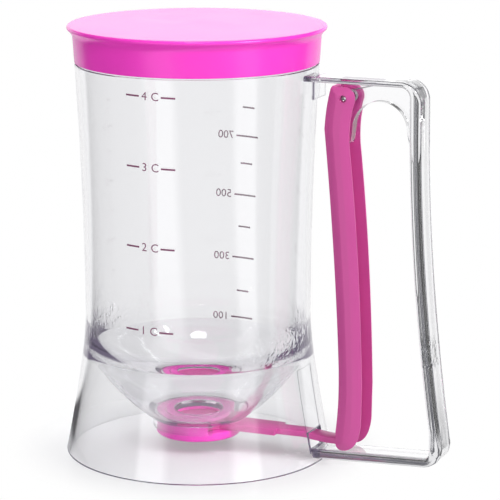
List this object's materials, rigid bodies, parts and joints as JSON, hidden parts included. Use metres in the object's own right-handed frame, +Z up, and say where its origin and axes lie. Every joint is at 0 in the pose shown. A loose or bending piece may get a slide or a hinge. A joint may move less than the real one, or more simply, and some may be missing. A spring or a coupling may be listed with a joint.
{
  "type": "batter dispenser",
  "caption": "Clear hand-held batter dispenser with a funnel base, loop handle, squeeze trigger that slides a valve gate, and a press-on pink lid.",
  "frame": {"origin": "centre of the rim the skirt stands on", "axes": "+Z up along the cup's axis, +X from the cup to the handle; the cup scale faces -Y"},
  "size_m": [0.1729, 0.116, 0.1869],
  "materials": {
    "clear_plastic": "clear polished moulding",
    "pink_plastic": "smooth gloss moulding",
    "trigger_plastic": "smooth satin moulding",
    "seal_rubber": "soft silicone",
    "pin_steel": "ground pin",
    "spring_steel": "bright drawn wire"
  },
  "bodies": {
    "housing": {"cup": "clear_plastic", "handle_frame": "clear_plastic", "valve_cap": "pink_plastic", "valve_seal": "seal_rubber", "pivot_pin": "pin_steel", "return_spring": "spring_steel"},
    "trigger": {"trigger_lever": "trigger_plastic"},
    "gate": {"slide_gate": "trigger_plastic"},
    "lid_body": {"lid": "pink_plastic"}
  },
  "joints": [
    {"name": "trigger_hinge", "type": "hinge", "parent": "housing", "child": "trigger", "pos_m": [0.0697, 0, 0.1601], "axis": [0, -1, 0], "range_deg": [0, 9.5], "stiffness_Nm_per_rad": 0.15, "springref_deg": -28.65, "deforming": ["return_spring"]},
    {"name": "gate_slide", "type": "slide", "parent": "housing", "child": "gate", "axis": [1, 0, 0], "range_m": [0, 0.0249]},
    {"name": "lid_lift", "type": "slide", "parent": "housing", "child": "lid_body", "axis": [0, 0, 1], "range_m": [0, 0.035]}
  ],
  "couplings": [
    {"joint": "gate_slide", "follows": "trigger_hinge", "m_per_rad": 0.15}
  ]
}
